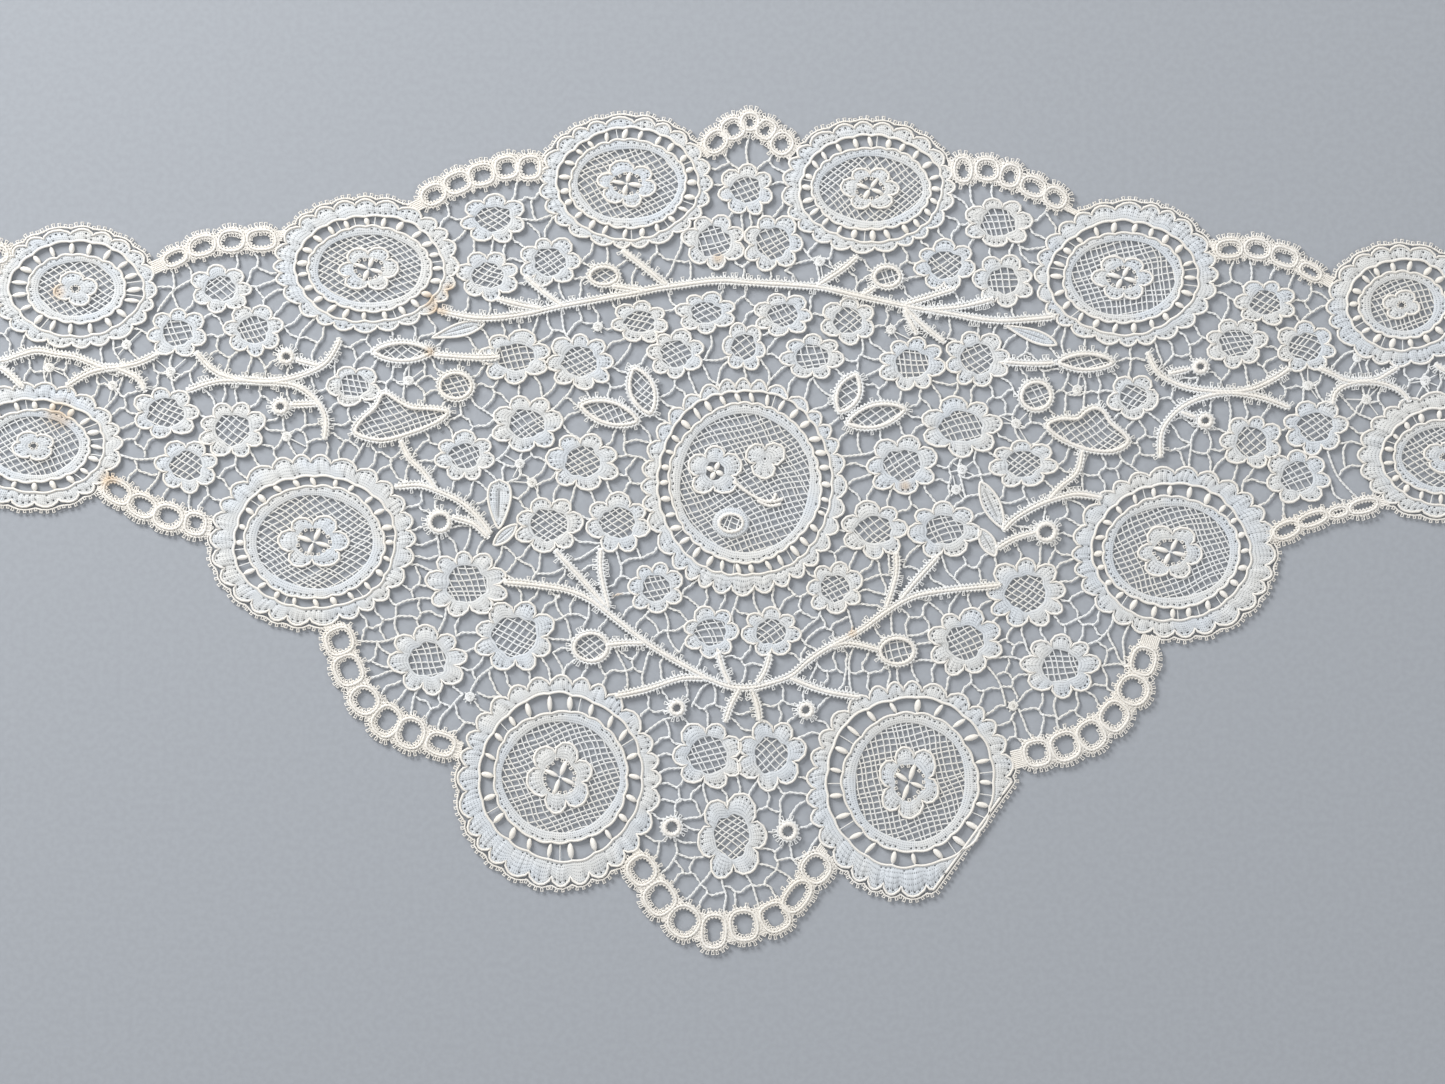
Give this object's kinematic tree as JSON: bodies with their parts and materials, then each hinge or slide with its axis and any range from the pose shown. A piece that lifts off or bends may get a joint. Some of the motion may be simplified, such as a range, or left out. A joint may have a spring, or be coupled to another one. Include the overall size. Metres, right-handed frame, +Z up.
{
  "type": "bobbin lace lappet",
  "caption": "Flat mixed lace lappet: a wide diamond middle with two bands, scalloped medallions, sprigs, bars and a ringed edging.",
  "frame": {"origin": "under the middle of the lace's bounding box, on the surface that it lies on", "axes": "+X along the lappet from one band end to the other, +Y towards the shallow peak of its middle, +Z up, out of the face that shows"},
  "size_m": [0.396, 0.1597, 0.0017],
  "materials": {
    "ivory_thread": "matte",
    "white_cloth": "matte"
  },
  "bodies": {
    "root": {"ground": "ivory_thread", "medallion_centre": "white_cloth", "medallion_top_left": "white_cloth", "medallion_top_right": "white_cloth", "medallion_upper_left": "white_cloth", "medallion_upper_right": "white_cloth", "medallion_lower_left": "white_cloth", "medallion_lower_right": "white_cloth", "medallion_bottom_left": "white_cloth", "medallion_bottom_right": "white_cloth", "medallion_band_left_upper": "white_cloth", "medallion_band_left_lower": "white_cloth", "medallion_band_right_upper": "white_cloth", "medallion_band_right_lower": "white_cloth", "medallion_tip_left": "white_cloth", "medallion_tip_right": "white_cloth", "edging_left_end_upper": "ivory_thread", "edging_left_top": "ivory_thread", "edging_upper_left": "ivory_thread", "edging_peak": "ivory_thread", "edging_upper_right": "ivory_thread", "edging_right_top": "ivory_thread", "edging_right_bottom": "ivory_thread", "edging_bottom_right": "ivory_thread", "edging_bottom_tip": "ivory_thread", "edging_bottom_left": "ivory_thread", "edging_left_bottom": "ivory_thread", "edging_left_end_lower": "ivory_thread", "edging_right_end_upper": "ivory_thread", "edging_right_end_lower": "ivory_thread"}
  },
  "joints": []
}
